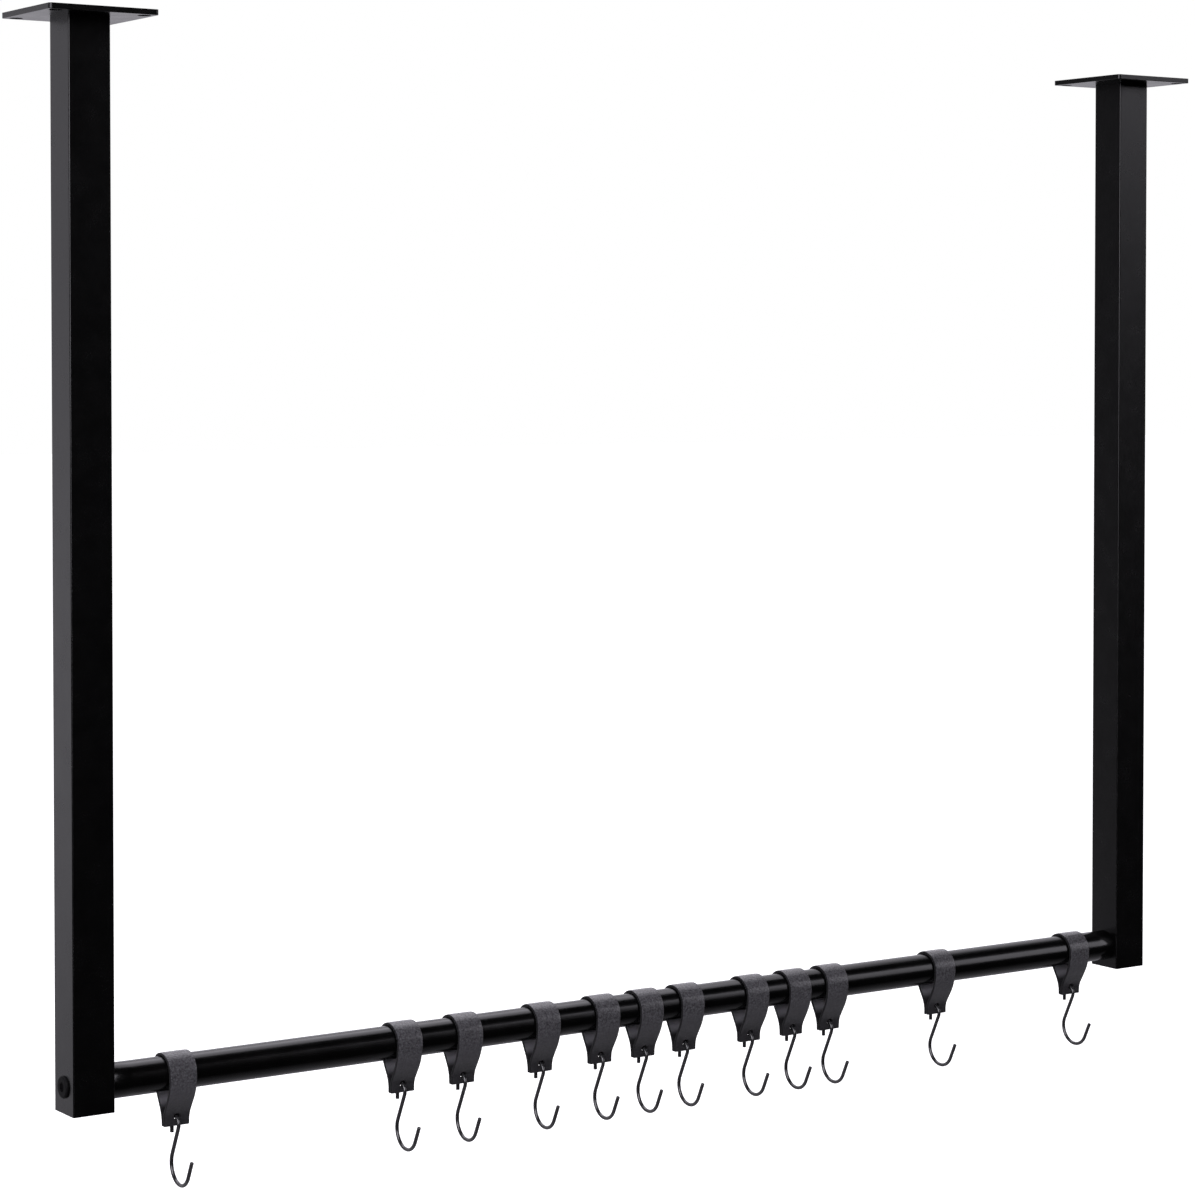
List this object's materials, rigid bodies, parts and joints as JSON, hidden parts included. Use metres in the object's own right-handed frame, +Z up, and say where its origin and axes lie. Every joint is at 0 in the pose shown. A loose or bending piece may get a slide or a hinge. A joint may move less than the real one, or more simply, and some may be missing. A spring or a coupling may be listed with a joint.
{
  "type": "clothes rail",
  "caption": "Ceiling-hung clothes rail: square steel posts on drilled ceiling plates carry a round rail with sliding leather strap loops, each holding a swinging wire S-hook.",
  "frame": {"origin": "on the ceiling plane that the plates' upper faces meet, midway between the two posts", "axes": "+X along the rail from the left post to the right post, +Y to the back, +Z up to the ceiling"},
  "size_m": [1.344, 0.104, 1.0538],
  "materials": {
    "frame_black": "satin black powder coat",
    "rail_black": "satin to glossy black powder coat",
    "bolt_black": "black coated steel",
    "inner_steel": "bare turned steel, hidden",
    "leather": "matt charcoal leather with a fine grain",
    "wire_black": "glossy black coated wire"
  },
  "bodies": {
    "frame": {"rail_tube": "rail_black", "left_ceiling_plate": "frame_black", "left_post": "frame_black", "left_post_cap": "frame_black", "left_rail_plug": "inner_steel", "left_rail_bolt": "bolt_black", "right_ceiling_plate": "frame_black", "right_post": "frame_black", "right_post_cap": "frame_black", "right_rail_plug": "inner_steel", "right_rail_bolt": "bolt_black"},
    "strap_01": {"strap_loop_01": "leather"},
    "hook_01": {"s_hook_01": "wire_black"},
    "strap_02": {"strap_loop_02": "leather"},
    "hook_02": {"s_hook_02": "wire_black"},
    "strap_03": {"strap_loop_03": "leather"},
    "hook_03": {"s_hook_03": "wire_black"},
    "strap_04": {"strap_loop_04": "leather"},
    "hook_04": {"s_hook_04": "wire_black"},
    "strap_05": {"strap_loop_05": "leather"},
    "hook_05": {"s_hook_05": "wire_black"},
    "strap_06": {"strap_loop_06": "leather"},
    "hook_06": {"s_hook_06": "wire_black"},
    "strap_07": {"strap_loop_07": "leather"},
    "hook_07": {"s_hook_07": "wire_black"},
    "strap_08": {"strap_loop_08": "leather"},
    "hook_08": {"s_hook_08": "wire_black"},
    "strap_09": {"strap_loop_09": "leather"},
    "hook_09": {"s_hook_09": "wire_black"},
    "strap_10": {"strap_loop_10": "leather"},
    "hook_10": {"s_hook_10": "wire_black"},
    "strap_11": {"strap_loop_11": "leather"},
    "hook_11": {"s_hook_11": "wire_black"},
    "strap_12": {"strap_loop_12": "leather"},
    "hook_12": {"s_hook_12": "wire_black"}
  },
  "joints": [
    {"name": "strap_01_slide", "type": "slide", "parent": "frame", "child": "strap_01", "axis": [1, 0, 0], "range_m": [-0.05381, 0.20828]},
    {"name": "hook_01_swing", "type": "hinge", "parent": "strap_01", "child": "hook_01", "pos_m": [-0.53169, -0.00095, -0.99779], "axis": [1, 0, 0], "range_deg": [-60, 40]},
    {"name": "strap_02_slide", "type": "slide", "parent": "frame", "child": "strap_02", "axis": [1, 0, 0], "range_m": [-0.20828, 0.03886]},
    {"name": "hook_02_swing", "type": "hinge", "parent": "strap_02", "child": "hook_02", "pos_m": [-0.2954, -0.00095, -0.99779], "axis": [1, 0, 0], "range_deg": [-60, 40]},
    {"name": "strap_03_slide", "type": "slide", "parent": "frame", "child": "strap_03", "axis": [1, 0, 0], "range_m": [-0.03886, 0.06079]},
    {"name": "hook_03_swing", "type": "hinge", "parent": "strap_03", "child": "hook_03", "pos_m": [-0.22854, -0.00095, -0.99779], "axis": [1, 0, 0], "range_deg": [-60, 40]},
    {"name": "strap_04_slide", "type": "slide", "parent": "frame", "child": "strap_04", "axis": [1, 0, 0], "range_m": [-0.06079, 0.04185]},
    {"name": "hook_04_swing", "type": "hinge", "parent": "strap_04", "child": "hook_04", "pos_m": [-0.13975, -0.00095, -0.99779], "axis": [1, 0, 0], "range_deg": [-60, 40]},
    {"name": "strap_05_slide", "type": "slide", "parent": "frame", "child": "strap_05", "axis": [1, 0, 0], "range_m": [-0.04185, 0.02391]},
    {"name": "hook_05_swing", "type": "hinge", "parent": "strap_05", "child": "hook_05", "pos_m": [-0.0699, -0.00095, -0.99779], "axis": [1, 0, 0], "range_deg": [-60, 40]},
    {"name": "strap_06_slide", "type": "slide", "parent": "frame", "child": "strap_06", "axis": [1, 0, 0], "range_m": [-0.02391, 0.02192]},
    {"name": "hook_06_swing", "type": "hinge", "parent": "strap_06", "child": "hook_06", "pos_m": [-0.01799, -0.00095, -0.99779], "axis": [1, 0, 0], "range_deg": [-60, 40]},
    {"name": "strap_07_slide", "type": "slide", "parent": "frame", "child": "strap_07", "axis": [1, 0, 0], "range_m": [-0.02192, 0.05282]},
    {"name": "hook_07_swing", "type": "hinge", "parent": "strap_07", "child": "hook_07", "pos_m": [0.03194, -0.00095, -0.99779], "axis": [1, 0, 0], "range_deg": [-60, 40]},
    {"name": "strap_08_slide", "type": "slide", "parent": "frame", "child": "strap_08", "axis": [1, 0, 0], "range_m": [-0.05282, 0.02591]},
    {"name": "hook_08_swing", "type": "hinge", "parent": "strap_08", "child": "hook_08", "pos_m": [0.11275, -0.00095, -0.99779], "axis": [1, 0, 0], "range_deg": [-60, 40]},
    {"name": "strap_09_slide", "type": "slide", "parent": "frame", "child": "strap_09", "axis": [1, 0, 0], "range_m": [-0.02591, 0.01993]},
    {"name": "hook_09_swing", "type": "hinge", "parent": "strap_09", "child": "hook_09", "pos_m": [0.16666, -0.00095, -0.99779], "axis": [1, 0, 0], "range_deg": [-60, 40]},
    {"name": "strap_10_slide", "type": "slide", "parent": "frame", "child": "strap_10", "axis": [1, 0, 0], "range_m": [-0.01993, 0.1156]},
    {"name": "hook_10_swing", "type": "hinge", "parent": "strap_10", "child": "hook_10", "pos_m": [0.21459, -0.00095, -0.99779], "axis": [1, 0, 0], "range_deg": [-60, 40]},
    {"name": "strap_11_slide", "type": "slide", "parent": "frame", "child": "strap_11", "axis": [1, 0, 0], "range_m": [-0.1156, 0.16144]},
    {"name": "hook_11_swing", "type": "hinge", "parent": "strap_11", "child": "hook_11", "pos_m": [0.35819, -0.00095, -0.99779], "axis": [1, 0, 0], "range_deg": [-60, 40]},
    {"name": "strap_12_slide", "type": "slide", "parent": "frame", "child": "strap_12", "axis": [1, 0, 0], "range_m": [-0.16144, 0.03787]},
    {"name": "hook_12_swing", "type": "hinge", "parent": "strap_12", "child": "hook_12", "pos_m": [0.54763, -0.00095, -0.99779], "axis": [1, 0, 0], "range_deg": [-60, 40]}
  ]
}
